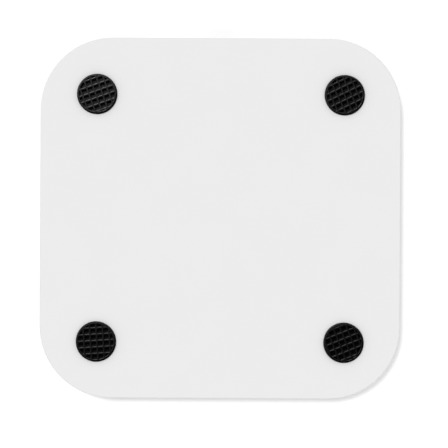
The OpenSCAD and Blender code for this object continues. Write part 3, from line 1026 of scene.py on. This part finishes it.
def makeLands():
    low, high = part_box("controller_chip")
    places = landPlaces(low, high, lands["controllerSide"])
    base = low.z + lands["lift"] + lands["height"] / 2
    low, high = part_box("power_transistors")
    size = Vector((transistorSize, transistorSize, 0))
    for x in (low.x, high.x - size.x):
        for y in (low.y, high.y - size.y):
            corner = Vector((x, y, low.z))
            places += landPlaces(corner, corner + size, lands["transistorSide"])
    mesh = bpy.data.meshes.new("land_places")
    mesh.from_pydata([(place.x, place.y, base) for place, turn in places], [], [])
    turns = mesh.attributes.new("turn", "FLOAT", "POINT")
    turns.data.foreach_set("value", [turn for place, turn in places])
    blank = fresh("land_places", mesh)
    tree, inputs = makeLandTree()
    grow(blank, tree, inputs, {
        "Length": lands["length"], "Width": lands["width"], "Height": lands["height"],
        "Material": slotFinishes["plated_steel"],
    })
    edge = blank.modifiers.new("edge", "BEVEL")
    edge.width = lands["edge"]
    edge.segments = lands["edgeSegments"]
    piece = fresh("solder_lands", smoothed(applied(blank, "solder_lands"), lands["smoothTo"]))
    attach(piece, "root")
    tell("solder lands made")


makeLands()


# Stage, lights and camera

studio = {
    "floorTone": 0.70,
    "floorFades": (0.25, 2.0),  # how far off it starts and stops turning into the room's own tone
    "floorSide": 8.0,
    "sheetTone": 0.9,
    "sheetGlow": 0.105,
    "sheetSide": 0.8,
    "planeRoughness": 0.9,
    "gap": 0.02 * mm,           # between the pad and the floor or the sheet
    "contact": 12 * mm,         # how far the painted shade that the pad casts on the floor reaches round it
    "paintedShadeSamples": 8,
    "room": 0.70,               # strength of the room's own light
}


def grey(tone):
    return (tone, tone, tone)


def floorColourWithPaintedShade(graph):
    # painted shade: the floor's colour is darkened by ambient occlusion where the pad stands
    # close, and is as bright as the room far off
    distance = graph.length(graph.node("ShaderNodeTexCoord", out="Object"))
    far = graph.ramp(distance, *studio["floorFades"])
    tone = graph.mixed(far, grey(studio["floorTone"]), grey(1))
    # the occlusion darkens the floor's colour itself: a painted contact shadow round and under the
    # pad
    values = {"Color": tone, "Distance": studio["contact"]}
    return graph.node("ShaderNodeAmbientOcclusion", {"samples": studio["paintedShadeSamples"]}, values)


def sheetColour(graph):
    return (*grey(studio["sheetTone"]), 1)


def plainPlane(name, side, height, facing, makeColour, glow):
    # a plane that shows only from the side that it faces, and lets all light by
    half = side / 2
    corners = [(-half, -half), (half, -half), (half, half), (-half, half)]
    if facing < 0:
        corners.reverse()
    mesh = bpy.data.meshes.new(name)
    mesh.from_pydata([(x, y, height) for x, y in corners], [], [(0, 1, 2, 3)])
    material = bpy.data.materials.new(name)
    material.use_nodes = True
    graph = Graph(material.node_tree)
    paint = graph.node("ShaderNodeBsdfPrincipled", values={
        "Base Color": makeColour(graph), "Roughness": studio["planeRoughness"],
        "Specular IOR Level": 0.0, "Emission Color": (1, 1, 1, 1), "Emission Strength": glow})
    clear = graph.node("ShaderNodeBsdfTransparent")
    behind = graph.node("ShaderNodeNewGeometry", out="Backfacing")
    shown = graph.node("ShaderNodeMixShader", values={0: behind, 1: paint, 2: clear})
    graph.node("ShaderNodeOutputMaterial", values={"Surface": shown})
    mesh.materials.append(material)
    plane = fresh(name, mesh)
    plane.visible_shadow = False
    plane.visible_diffuse = False
    plane.visible_glossy = False
    plane.visible_transmission = False


def makeRoom():
    # an even soft room, whose lower half stays dark in reflections
    world = bpy.data.worlds.new("studio")
    world.use_nodes = True
    graph = Graph(world.node_tree)
    way = graph.node("ShaderNodeTexCoord", out="Generated")
    below = graph.maths("LESS_THAN", graph.part(way, "Z"), 0.0)
    gloss = graph.node("ShaderNodeLightPath", out="Is Glossy Ray")
    strength = studio["room"] * (1 - below * gloss)
    values = {"Color": (1, 1, 1, 1), "Strength": strength}
    sky = graph.node("ShaderNodeBackground", values=values)
    graph.node("ShaderNodeOutputWorld", values={"Surface": sky})
    bpy.context.scene.world = world


def makeStage():
    low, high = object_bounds()
    floorHeight = low.z - studio["gap"]
    sheetHeight = high.z + studio["gap"]
    plainPlane("floor", studio["floorSide"], floorHeight, 1, floorColourWithPaintedShade, 0.0)
    plainPlane("sheet", studio["sheetSide"], sheetHeight, -1, sheetColour, studio["sheetGlow"])
    makeRoom()


# name: kind, place, target, strength, size, whether it shows in diffuse light and in gloss
lamps = {
    "underKey": ("SUN", (0.165, 0.175, -1), (0, 0, 0), 1.25, math.radians(8.7), True, False),
    "treadLight": ("AREA", (0.12, 0.20, -0.08), (0.02, 0.02, 0), 2.0, 0.12, False, True),
    "topKey": ("AREA", (-0.45, -0.35, 0.75), (0, 0, 0), 2.6, 0.5, True, True),
    "topFill": ("AREA", (0.6, 0.5, 0.6), (0, 0, 0), 0.4, 0.6, True, True),
}


def aim(lamp, place, target):
    lamp.location = place
    lamp.rotation_mode = "QUATERNION"
    lamp.rotation_quaternion = (Vector(target) - Vector(place)).to_track_quat("-Z", "Y")


def makeLamps():
    treads = bpy.data.collections.new("treads")      # all that the tread light falls on
    for node in footTreads:
        treads.objects.link(bpy.data.objects[node + "_tread"])
    for name, (kind, place, target, strength, size, inDiffuse, inGloss) in lamps.items():
        data = bpy.data.lights.new(name, kind)
        data.energy = strength
        if kind == "SUN":
            data.angle = size
        else:
            data.shape = "DISK"
            data.size = size
        lamp = fresh(name, data)
        aim(lamp, place, target)
        if name == "treadLight":
            lamp.light_linking.receiver_collection = treads
        lamp.visible_camera = False
        lamp.visible_diffuse = inDiffuse
        lamp.visible_glossy = inGloss


cameraSet = {
    "lens": 150.0,
    "sensor": 36.0,
    "width": 111.85 * mm,       # how much of the underside's plane the frame takes in
    "aside": -0.92 * mm,        # the pad sits a little left of and above the middle
    "down": -1.4 * mm,
    "roll": 0.3,                # degrees
    "near": 0.01,
    "far": 20,
}


def makeCamera():
    data = bpy.data.cameras.new("camera")
    data.lens = cameraSet["lens"]
    data.sensor_width = cameraSet["sensor"]
    data.clip_start = cameraSet["near"]
    data.clip_end = cameraSet["far"]
    camera = fresh("camera", data)
    distance = cameraSet["width"] * cameraSet["lens"] / cameraSet["sensor"]
    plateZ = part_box("bottom_cover")[0].z
    camera.location = (cameraSet["aside"], cameraSet["down"], plateZ - distance)
    upward = Matrix.Rotation(math.pi, 4, "Y")
    roll = Matrix.Rotation(math.radians(cameraSet["roll"]), 4, "Z")
    camera.rotation_mode = "QUATERNION"
    camera.rotation_quaternion = (upward @ roll).to_quaternion()
    bpy.context.scene.camera = camera


makeStage()
makeLamps()
makeCamera()
view = bpy.context.scene.view_settings
view.view_transform = "Standard"
view.look = "None"
tell("stage, lights and camera made")
